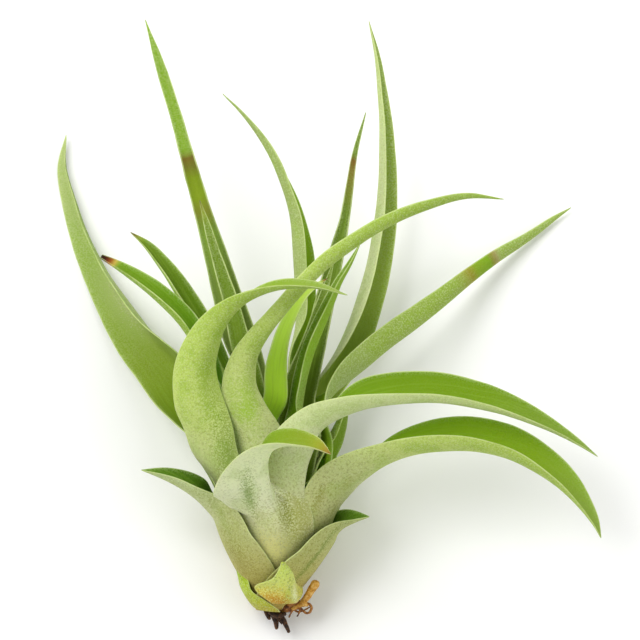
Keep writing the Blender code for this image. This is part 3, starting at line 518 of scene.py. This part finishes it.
def makeLeaf(shape):
    make = leafMake
    stations = leafStations(shape)
    steps = np.linalg.norm(np.diff(stations[:, centreAt], axis=0), axis=1)
    places = np.concatenate([[0], np.cumsum(steps)])
    length = places[-1]
    rowCount = math.ceil(length / make["rowStep"])
    columnCount = max(make["fewestColumns"], 2 * math.ceil(stations[:, leftHalf].max() / make["columnStep"]))
    clearPick()
    bpy.ops.mesh.primitive_grid_add(x_subdivisions=columnCount, y_subdivisions=rowCount, size=1)
    leaf = bpy.context.object
    mesh = leaf.data
    flat = meshPoints(mesh)
    even = flat[:, 0] * 2  # -1 to 1 between the margins, then drawn closer together towards them
    evenShare, crowdedShare = make["columnSpread"]
    across = evenShare * even + crowdedShare * np.sin(even * math.pi / 2)
    where = np.clip((flat[:, 1] + 0.5) * length, 0, length)
    rows = smoothRows(places, stations, where)
    points, back = leafPoints(rows, across)
    half = halfWidth(rows, across)
    side = np.cross(back, unit(rows[:, runAt]))
    growth = (np.clip((where - make["calmFoot"]) / make["footFade"], 0, 1)
              * np.clip((length - where) / make["tipFade"], 0, 1))  # no waviness at the foot and the tip
    for index, spot in enumerate(points):
        broad = make["ripple"] * noise.noise(Vector(spot) / make["rippleSize"])
        edge = make["edgeRipple"] * across[index] ** 3 * noise.noise(Vector(spot) / make["edgeRippleSize"])
        points[index] = spot + growth[index] * (back[index] * broad + side[index] * edge)
    mesh.vertices.foreach_set("co", toWorld(points).ravel())

    # what the finish reads: mm from the tip, foot and margin, the place along, and a map in metres
    fromMargin = (1 - np.abs(across)) * half
    line = np.minimum(make["lineWidth"], make["lineMost"] * half)
    for label, values in (("alongLeaf", where / length), ("fromTip", length - where), ("fromFoot", where),
                          ("fromMargin", fromMargin), ("marginLine", fromMargin / line)):
        storeValues(mesh, label, values)
    leafMap = mesh.uv_layers.new(name="leafMap")
    flatMap = np.stack([across * half * mm, where * mm], 1)
    corners = np.empty(len(mesh.loops), int)
    mesh.loops.foreach_get("vertex_index", corners)
    leafMap.uv.foreach_set("vector", flatMap[corners].astype(np.float32).ravel())

    # the wall, thinner at the margins and the tip
    thick = (1 - (1 - make["marginShare"]) * across ** 2) * np.interp(where / length, *make["thickAlong"])
    group = leaf.vertex_groups.new(name="thick")
    for index, weight in enumerate(thick):
        group.add([index], float(weight), "REPLACE")
    wall = leaf.modifiers.new("wall", "SOLIDIFY")
    wall.thickness = make["thickness"] * mm
    wall.offset = 0
    wall.vertex_group = group.name
    applyModifiers(leaf)
    shell = meshPoints(mesh)
    count = len(flat)  # the first skin has the grid's own points, the second one follows it
    middle = int(np.argmin(np.abs(across) + np.abs(where / length - make["facePlace"])))
    firstIsOuter = (shell[middle] - shell[middle + count]) @ (tipBack @ back[middle]) > 0
    storeValues(mesh, "innerFace", np.repeat([0.0, 1.0] if firstIsOuter else [1.0, 0.0], count))
    addSubdivision(leaf, make["levels"])
    applyModifiers(leaf)
    leaf.vertex_groups.clear()
    bpy.ops.object.shade_smooth()
    return leaf


# the scales are really 0.1 to 0.2 mm across, too fine to show, so they are drawn 0.45 mm wide, in clusters of
# 0.7 mm; a soft step runs from one value of what it reads to another, and up to its strength
leafLook = dict(
    blotch=(9.0, 3.0, 0.6), speck=(0.7, 2.0, 0.7), scale=(0.45, 1.0, 0.6),  # size in mm, detail, roughness
    veinAcross=0.7, veinAlong=18.0, veinDetail=2.0, edgeShift=4.0,  # mm, mm, detail, mm
    patchStep={"From Min": 0.44, "From Max": 0.6, "To Max": 0.5},
    patchInward={"From Min": 0.8, "From Max": 3.4},  # mm from the margin
    speckTone="7A8834", speckStep={"From Min": 0.5, "From Max": 0.64, "To Max": 0.6},
    speckUpward={"From Min": 20.0, "From Max": 65.0, "To Min": 0.95, "To Max": 0.5},  # mm from the foot
    scaleTone="DCE6B4", scaleStep={"From Min": 0.48, "From Max": 0.64}, scaleStrength=0.28,
    sheath=[(0, "AA8A3C", 0.9), (5, "B09A48", 0.9), (14, "B2A85A", 0.8), (26, "B6B46E", 0.5),
            (42, "BEC690", 0.3), (56, "BEC898", 0)],  # mm from the foot, hex, strength
    sheathSpeck="86763A", sheathReach=60.0,
    veinTone="8CAC3C", veinStep={"From Min": 0.46, "From Max": 0.68, "To Max": 0.22},
    scurfTone="BCC88C", scurfStep={"From Min": 0.36, "From Max": 0.62}, scurf=0.06,
    scurfUpward={"From Min": 0.3, "From Max": 0.9},  # share of the leaf
    rimStep={"From Min": 1.8, "From Max": 0.0, "To Max": 0.3},  # mm from the margin
    markReach=80.0, dryTipWithin=2, raggedness=2.3, spotStep={"From Min": 2.05, "From Max": 1.1},
    lineTone="CFDC9A", lineStep={"From Min": 1.4, "From Max": 0.5, "To Max": 0.62},
    lineBreaks={"From Min": 0.35, "From Max": 0.6, "To Min": 0.35},
    veinRelief=0.6, relief={"Strength": 0.4, "Distance": 0.00025},  # metres
    gloss={"From Min": 0.3, "From Max": 0.7, "To Min": 0.5, "To Max": 0.72},
    skin={"IOR": 1.45, "Specular IOR Level": 0.16, "Specular Tint": (0.92, 1.0, 0.6, 1.0),
          "Sheen Weight": 0.07, "Sheen Roughness": 0.4, "Sheen Tint": (0.92, 1.0, 0.65, 1.0),
          "Subsurface Weight": 0.2, "Subsurface Radius": (0.7, 1.0, 0.25), "Subsurface Scale": 0.0012})

factor, under, over = 0, 6, 7  # the sockets of a Mix node that mixes colours
colours = dict(data_type="RGBA")
soft = dict(interpolation_type="SMOOTHSTEP")


def startMaterial(name):
    material = bpy.data.materials.new(name)
    material.use_nodes = True
    material.node_tree.nodes.clear()
    return material, material.node_tree


# a living leaf in a coat of fine grey scales: matt, silvery and speckled outside, greener inside
def leafFinish(name, shape):
    look = leafLook
    tones = {**leafTones[shape["tones"]], **{key: shape[key] for key in ("outer", "inner") if key in shape}}
    material, tree = startMaterial(tones["finish"] + "_" + name)
    evenStops = np.linspace(0, 1, len(tones["outer"]))

    # where a point lies on the leaf
    place = addNode(tree, "ShaderNodeTexCoord").outputs["Object"]
    strip = addNode(tree, "ShaderNodeUVMap", uv_map="leafMap")
    along, inner, fromFoot, fromTip, fromMargin, marginLine = (
        addNode(tree, "ShaderNodeAttribute", attribute_name=label).outputs["Fac"]
        for label in ("alongLeaf", "innerFace", "fromFoot", "fromTip", "fromMargin", "marginLine"))

    # grains: broad blotches, clusters of scales, single scales, and veins drawn out along the leaf
    blotch, speck, scales = (
        addNode(tree, "ShaderNodeTexNoise", {
            "Vector": place, "Scale": 1 / (size * mm), "Detail": detail, "Roughness": roughness})
        for size, detail, roughness in (look["blotch"], look["speck"], look["scale"]))
    drawnOut = addNode(tree, "ShaderNodeMapping", {
        "Vector": strip, "Scale": (1 / (look["veinAcross"] * mm), 1 / (look["veinAlong"] * mm), 1)})
    veins = addNode(tree, "ShaderNodeTexNoise", {
        "Vector": drawnOut, "Scale": 1.0, "Detail": look["veinDetail"]})
    uneven = addNode(tree, "ShaderNodeMath", {0: blotch, 1: look["edgeShift"], 2: -look["edgeShift"] / 2},
                     operation="MULTIPLY_ADD")

    # outer face: a tone that changes along the leaf, greener patches, olive specks, pale scales, a drier foot
    greener = addNode(tree, "ShaderNodeMapRange", {"Value": blotch, **look["patchStep"]}, **soft)
    inward = addNode(tree, "ShaderNodeMapRange", {"Value": fromMargin, **look["patchInward"]}, **soft)
    greenPart = addNode(tree, "ShaderNodeMath", {0: greener, 1: inward}, operation="MULTIPLY")
    specks = addNode(tree, "ShaderNodeMapRange", {"Value": speck, **look["speckStep"]}, **soft)
    upward = addNode(tree, "ShaderNodeMapRange", {"Value": fromFoot, **look["speckUpward"]}, **soft)
    speckPart = addNode(tree, "ShaderNodeMath", {0: specks, 1: upward}, operation="MULTIPLY")
    haze = shape.get("haze", 0.0)
    scalePart = addNode(tree, "ShaderNodeMapRange", {
        "Value": scales, **look["scaleStep"], "To Min": haze, "To Max": look["scaleStrength"] + haze}, **soft)
    outer = addNode(tree, "ShaderNodeValToRGB", {"Fac": along}, stops=list(zip(evenStops, tones["outer"])))
    for part, tone in ((greenPart, tones["patch"]), (speckPart, look["speckTone"]),
                       (scalePart, look["scaleTone"])):
        outer = addNode(tree, "ShaderNodeMix", {factor: part, under: outer, over: fromHex(tone)}, **colours)
    foot = addNode(tree, "ShaderNodeMath", {0: fromFoot, 1: uneven}, operation="ADD")
    footPlace = addNode(tree, "ShaderNodeMath", {0: foot, 1: 1 / look["sheathReach"]}, operation="MULTIPLY")
    sheath = addNode(tree, "ShaderNodeValToRGB", {"Fac": footPlace}, stops=[
        (far / look["sheathReach"], tone, strength) for far, tone, strength in look["sheath"]])
    sheathSpecks = addNode(tree, "ShaderNodeMix", {
        factor: specks, under: sheath, over: fromHex(look["sheathSpeck"])}, **colours)
    sheathPart = addNode(tree, "ShaderNodeMath", {0: sheath.outputs["Alpha"], 1: tones.get("dryFoot", 1.0)},
                         operation="MULTIPLY")
    outer = addNode(tree, "ShaderNodeMix", {factor: sheathPart, under: outer, over: sheathSpecks}, **colours)

    # inner face: green with fine veins, and grey scurf along the margins and towards the tip
    veinPart = addNode(tree, "ShaderNodeMapRange", {"Value": veins, **look["veinStep"]}, **soft)
    rim = addNode(tree, "ShaderNodeMapRange", {"Value": fromMargin, **look["rimStep"]}, **soft)
    scurfUpward = addNode(tree, "ShaderNodeMapRange", {
        "Value": along, **look["scurfUpward"], "To Max": shape.get("scurf", look["scurf"])}, **soft)
    scurf = addNode(tree, "ShaderNodeMath", {0: rim, 1: scurfUpward}, operation="ADD")
    scurfGrain = addNode(tree, "ShaderNodeMapRange", {"Value": scales, **look["scurfStep"]}, **soft)
    scurfPart = addNode(tree, "ShaderNodeMath", {0: scurf, 1: scurfGrain}, operation="MULTIPLY",
                        use_clamp=True)
    upper = addNode(tree, "ShaderNodeValToRGB", {"Fac": along}, stops=list(zip(evenStops, tones["inner"])))
    for part, tone in ((veinPart, look["veinTone"]), (scurfPart, look["scurfTone"])):
        upper = addNode(tree, "ShaderNodeMix", {factor: part, under: upper, over: fromHex(tone)}, **colours)
    both = addNode(tree, "ShaderNodeMix", {factor: inner, under: outer, over: upper}, **colours)

    # marks across the leaf, such as dry tips and bruises, then soft-edged patches, a few of them painted shade
    # in creases and folds, and the pale margin line
    if "marks" in shape:
        reach = fromTip  # the edge of a dry tip is sharp, and that of any other mark is uneven
        if shape["marks"][0][0] >= look["dryTipWithin"]:
            reach = addNode(tree, "ShaderNodeMath", {0: fromTip, 1: uneven}, operation="ADD")
        markPlace = addNode(tree, "ShaderNodeMath", {
            0: reach, 1: 1 / look["markReach"]}, operation="MULTIPLY")
        marks = addNode(tree, "ShaderNodeValToRGB", {"Fac": markPlace}, stops=[
            (far / look["markReach"], tone, strength) for far, tone, strength in shape["marks"]])
        both = addNode(tree, "ShaderNodeMix", {
            factor: marks.outputs["Alpha"], under: both, over: marks}, **colours)
    for across, far, acrossRadius, alongRadius, tone, strength in shape.get("patches", ()):
        centred = addNode(tree, "ShaderNodeMapping", {
            "Vector": strip, "Location": (across * mm, far * mm, 0),
            "Scale": (acrossRadius * mm, alongRadius * mm, 1)}, vector_type="TEXTURE")
        reach = addNode(tree, "ShaderNodeVectorMath", {0: centred}, operation="LENGTH").outputs["Value"]
        ragged = addNode(tree, "ShaderNodeMath", {0: scales, 1: look["raggedness"], 2: reach},
                         operation="MULTIPLY_ADD")
        spotPart = addNode(tree, "ShaderNodeMapRange", {
            "Value": ragged, **look["spotStep"], "To Max": strength}, **soft)
        both = addNode(tree, "ShaderNodeMix", {factor: spotPart, under: both, over: fromHex(tone)}, **colours)
    edgeLine = addNode(tree, "ShaderNodeMapRange", {"Value": marginLine, **look["lineStep"]}, **soft)
    broken = addNode(tree, "ShaderNodeMapRange", {"Value": blotch, **look["lineBreaks"]}, **soft)
    linePart = addNode(tree, "ShaderNodeMath", {0: edgeLine, 1: broken}, operation="MULTIPLY")
    both = addNode(tree, "ShaderNodeMix", {
        factor: linePart, under: both, over: fromHex(look["lineTone"])}, **colours)

    height = addNode(tree, "ShaderNodeMath", {0: veins, 1: look["veinRelief"], 2: scales},
                     operation="MULTIPLY_ADD")
    bump = addNode(tree, "ShaderNodeBump", {**look["relief"], "Height": height})
    roughness = addNode(tree, "ShaderNodeMapRange", {"Value": speck, **look["gloss"]}, **soft)
    shader = addNode(tree, "ShaderNodeBsdfPrincipled", {
        "Base Color": both, "Roughness": roughness, "Normal": bump, **look["skin"]})
    addNode(tree, "ShaderNodeOutputMaterial", {"Surface": shader})
    return material


for leafName, leafShape in leaves.items():
    finishPiece(makeLeaf(leafShape), leafName, leafFinish(leafName, leafShape))
print("leaves made:", len(leaves))


barkLook = dict(
    stops=(0.35, 0.5, 0.68), detail=4.0, coarseness=0.6, fineDetail=2.0,
    relief={"Strength": 0.6, "Distance": 0.0003}, roughSpread=0.12, specular=0.3)  # distance in metres


def barkFinish(name, look):  # dry corky skin of stem and root: matt and ridged, in darker and lighter patches
    bark = barkLook
    material, tree = startMaterial(name)
    place = addNode(tree, "ShaderNodeTexCoord").outputs["Object"]
    broad = addNode(tree, "ShaderNodeTexNoise", {
        "Vector": place, "Scale": 1 / (look["grain"] * mm), "Detail": bark["detail"],
        "Roughness": bark["coarseness"]})
    small = addNode(tree, "ShaderNodeTexNoise", {
        "Vector": place, "Scale": 1 / (look["fine"] * mm), "Detail": bark["fineDetail"]})
    colour = addNode(tree, "ShaderNodeValToRGB", {"Fac": broad},
                     stops=list(zip(bark["stops"], look["tones"])))
    bump = addNode(tree, "ShaderNodeBump", {**bark["relief"], "Height": small})
    rough = addNode(tree, "ShaderNodeMapRange", {
        "Value": small, "To Min": look["roughness"] - bark["roughSpread"],
        "To Max": look["roughness"] + bark["roughSpread"]})
    shader = addNode(tree, "ShaderNodeBsdfPrincipled", {
        "Base Color": colour, "Roughness": rough, "Normal": bump, "Specular IOR Level": bark["specular"]})
    addNode(tree, "ShaderNodeOutputMaterial", {"Surface": shader})
    return material


stemLook = dict(
    sides=20, levels=2, scarDepth=0.07, scarScale=(0.9, 0.9, 0.6),  # share of the radius, and scars to a mm
    tones=("20150E", "3C2412", "A8622A"), grain=2.2, fine=0.5, roughness=0.75)  # dark to light, mm, mm


def faceOutwards(obj):
    pick(obj)
    bpy.ops.object.mode_set(mode="EDIT")
    bpy.ops.mesh.select_all(action="SELECT")
    bpy.ops.mesh.normals_make_consistent(inside=False)
    bpy.ops.object.mode_set(mode="OBJECT")


def makeStem():
    clearPick()
    heights, radii = zip(*stemShape["profile"])
    bpy.ops.mesh.primitive_circle_add(vertices=stemLook["sides"], radius=radii[0], fill_type="NGON",
                                      location=(0, 0, heights[0]))
    stem = bpy.context.object
    bpy.ops.object.transform_apply(location=True)
    bpy.ops.object.mode_set(mode="EDIT")
    for low, high, lowRadius, highRadius in zip(heights, heights[1:], radii, radii[1:]):
        bpy.ops.mesh.extrude_region_move(TRANSFORM_OT_translate={"value": (0, 0, high - low)})
        grow = highRadius / lowRadius
        bpy.ops.transform.resize(value=(grow, grow, 1), center_override=(0, 0, high))
    faceOutwards(stem)
    addSubdivision(stem, stemLook["levels"])
    applyModifiers(stem)
    for vertex in stem.data.vertices:
        p = np.array(vertex.co)
        bark = 1 + stemLook["scarDepth"] * noise.noise(Vector(p * stemLook["scarScale"]))
        vertex.co = toWorld(onAxis(p[2]) + (stemRight * p[0] + stemFront * p[1]) * bark)
    stem.data.update()
    faceOutwards(stem)
    bpy.ops.object.shade_smooth()
    return stem


rootMake = dict(
    order=3, resolution=12, bevel=3, capSides=16, capRings=10,
    knots=((0.12, 1.1), (0.05, 3.1)),  # mm deep, knots to a mm
    grain=1.2, fine=0.4, roughness=0.6)  # mm, mm

# runs: points in the picture axes, then the radius at the first and last point, mm
roots = {
    "roots_dark": dict(
        slot="dark_root", finish="wiry_dark_root", tones=("1C120C", "38220F", "6A421C"), voxel=0.2, runs=[
            ([(-2.8, -6.6, -1.0), (-2.0, -8.2, -0.2), (-1.4, -9.8, 0.6), (-1.3, -11.4, 1.0)], 1.15, 0.6),
            ([(-0.8, -6.8, -0.6), (0.4, -8.4, 0.4), (1.4, -10.6, 0.8), (2.3, -12.5, 0.8)], 1.0, 0.55),
            ([(-3.2, -6.4, 0.4), (-1.8, -7.4, 0.8), (-0.4, -7.6, 0.8)], 1.3, 1.1),
            ([(-3.4, -6.4, 2.6), (-2.0, -7.6, 2.9), (-0.4, -7.8, 2.8), (1.0, -7.2, 2.2)], 0.9, 0.7),
            ([(-4.4, -6.2, 1.0), (-4.3, -7.6, 1.2), (-3.5, -8.6, 1.2)], 0.9, 0.5),
            ([(-1.4, -8.2, 1.6), (-0.2, -9.4, 2.0), (0.2, -10.2, 1.6)], 0.5, 0.25)]),
    "root_amber": dict(
        slot="amber_root", finish="waxy_amber_root", tones=("A06A1E", "CC9636", "E6C276"), voxel=0.2, runs=[
            ([(0.2, -6.4, 0.4), (2.8, -5.8, 1.8), (5.4, -4.6, 3.2), (7.0, -3.2, 4.0)], 0.6, 0.75),
            ([(6.4, -4.0, 3.7), (7.8, -2.2, 4.4), (9.2, 0.2, 4.9), (10.2, 1.7, 5.1)], 0.95, 1.4),
            ([(5.2, -4.6, 3.0), (6.6, -4.2, 3.6), (7.8, -4.6, 3.4)], 0.9, 0.5)]),
    "roots_curled": dict(
        slot="curled_root", finish="dry_curled_rootlet", tones=("4E2A10", "8E5622", "B98440"), voxel=0.15,
        runs=[
            ([(0.6, -5.8, 2.0), (2.2, -4.6, 3.0), (3.8, -3.6, 3.4), (5.6, -3.8, 3.0), (6.6, -4.4, 2.4)],
             1.0, 0.8),
            ([(1.4, -6.2, 1.6), (3.4, -5.6, 2.2), (5.6, -5.4, 2.0)], 0.8, 0.5),
            ([(5.4, -4.4, 2.4), (7.4, -3.8, 2.8), (9.3, -4.8, 2.4), (8.9, -6.8, 2.0), (7.2, -7.2, 1.6),
              (6.2, -5.8, 1.6)], 0.5, 0.35),
            ([(4.4, -4.6, 2.2), (3.2, -6.4, 1.6), (2.4, -8.2, 1.2)], 0.42, 0.22),
            ([(5.8, -4.8, 1.8), (5.8, -6.6, 1.4), (4.8, -8.0, 1.0)], 0.42, 0.22),
            ([(3.4, -5.2, 1.4), (4.4, -6.8, 0.8), (6.8, -6.4, 0.6), (8.6, -5.2, 0.8)], 0.36, 0.22)]),
}


def makeRoots(shape):
    strands = []
    for points, first, last in shape["runs"]:
        clearPick()
        bpy.ops.curve.primitive_nurbs_path_add()
        curve = bpy.context.object.data
        curve.splines.clear()
        spline = curve.splines.new("NURBS")
        spline.points.add(len(points) - 1)
        for index, (spot, point) in enumerate(zip(toWorld(points), spline.points)):
            point.co = (*spot, 1)
            point.radius = between((first, last), index / (len(points) - 1))
        spline.use_endpoint_u = True
        spline.order_u = rootMake["order"]
        curve.dimensions = "3D"
        curve.resolution_u = rootMake["resolution"]
        curve.bevel_depth = mm  # so that a point's radius is in mm
        curve.bevel_resolution = rootMake["bevel"]
        curve.use_fill_caps = True
        bpy.ops.object.convert(target="MESH")
        strands.append(bpy.context.object)
        clearPick()
        bpy.ops.mesh.primitive_uv_sphere_add(segments=rootMake["capSides"], ring_count=rootMake["capRings"],
                                             radius=last * mm, location=toWorld(points)[-1])
        strands.append(bpy.context.object)  # a rounded end
    pick(*strands)
    bpy.ops.object.join()
    root = bpy.context.object
    pick(root)
    bpy.ops.object.transform_apply(location=True, rotation=True, scale=True)
    fuse = root.modifiers.new("fuse", "REMESH")
    fuse.mode = "VOXEL"
    fuse.voxel_size = shape["voxel"] * mm
    fuse.use_smooth_shade = True
    applyModifiers(root)
    for vertex in root.data.vertices:  # knots and wrinkles along the wiry root
        spot = vertex.co / mm
        vertex.co += vertex.normal * sum(
            depth * mm * noise.noise(spot * often) for depth, often in rootMake["knots"])
    root.data.update()
    bpy.ops.object.shade_smooth()
    return root


finishPiece(makeStem(), "stem", barkFinish("stem_bark", stemLook))
for rootName, rootShape in roots.items():
    rootBark = barkFinish(rootShape["finish"], {**rootMake, **rootShape})
    finishPiece(makeRoots(rootShape), rootName, rootBark)
print("stem and roots made")


studio = dict(
    floorSize=4.0, floorDrop=0.0002, floorPatch=16.7, floorDetail=3.0,  # metres, metres, mm, detail
    floorTones=[(0.3, "FAFAF9"), (0.7, "FBFBFA")], floorSkin={"Roughness": 0.9, "Specular IOR Level": 0.1},
    skyTone="FFFFFF", skyStrength=0.48,
    lamps=[("key", (-0.9, 0.3, 1.5), 1.1, 20), ("fill", (1.1, -0.3, 1.3), 1.4, 7.5),
           ("back", (0.1, 1.3, 0.8), 1.0, 5.5)],  # place and size in metres, power in watts
    aim=(0.012, 0.062, 0.03))
photoView = dict(
    mmPerPixel=0.3, axisPixel=(281, 590), imageSize=640,  # the stem's foot in the photo, and its width
    distance=8000.0, depth=8.0, sensor=36.0, farthest=100)  # mm, mm, mm, metres

clearPick()
bpy.ops.mesh.primitive_plane_add(size=studio["floorSize"], location=(0, 0, -studio["floorDrop"]))
floor = bpy.context.object
bpy.ops.object.transform_apply(location=True)
floor.name = "floor"
floorPaper, floorTree = startMaterial("matt_white_paper")  # an even soft white with the faintest patches
floorPlace = addNode(floorTree, "ShaderNodeTexCoord").outputs["Object"]
floorPatches = addNode(floorTree, "ShaderNodeTexNoise", {
    "Vector": floorPlace, "Scale": 1 / (studio["floorPatch"] * mm), "Detail": studio["floorDetail"]})
floorColour = addNode(floorTree, "ShaderNodeValToRGB", {"Fac": floorPatches}, stops=studio["floorTones"])
floorShader = addNode(floorTree, "ShaderNodeBsdfPrincipled", {
    "Base Color": floorColour, **studio["floorSkin"]})
addNode(floorTree, "ShaderNodeOutputMaterial", {"Surface": floorShader})
floor.data.materials.append(floorPaper)

world = bpy.context.scene.world or bpy.data.worlds.new("studio")
bpy.context.scene.world = world
world.use_nodes = True
world.node_tree.nodes.clear()
sky = addNode(world.node_tree, "ShaderNodeBackground", {
    "Color": fromHex(studio["skyTone"]), "Strength": studio["skyStrength"]})
addNode(world.node_tree, "ShaderNodeOutputWorld", {"Surface": sky})

for lampName, spot, size, power in studio["lamps"]:
    clearPick()
    bpy.ops.object.light_add(type="AREA", location=spot)
    lamp = bpy.context.object
    lamp.name = lampName + "_softbox"
    lamp.data.shape = "SQUARE"
    lamp.data.size = size
    lamp.data.energy = power
    lamp.visible_camera = False
    lamp.rotation_euler = (Vector(spot) - Vector(studio["aim"])).to_track_quat("Z", "Y").to_euler()

bpy.context.scene.view_settings.view_transform = "Standard"

middlePixel = photoView["imageSize"] / 2
aimU = (middlePixel - photoView["axisPixel"][0]) * photoView["mmPerPixel"]
aimV = (photoView["axisPixel"][1] - middlePixel) * photoView["mmPerPixel"]
viewFrom = toWorld([(aimU, aimV, photoView["depth"] + photoView["distance"])])[0]
bpy.ops.object.camera_add()
camera = bpy.context.object
camera.data.sensor_width = photoView["sensor"]
camera.data.lens = (photoView["sensor"] * photoView["distance"]
                    / (photoView["imageSize"] * photoView["mmPerPixel"]))
camera.data.clip_end = photoView["farthest"]
camera.matrix_world = Matrix.Translation(Vector(viewFrom)) @ Matrix(tipBack.tolist()).to_4x4()
bpy.context.scene.camera = camera
print("studio set")
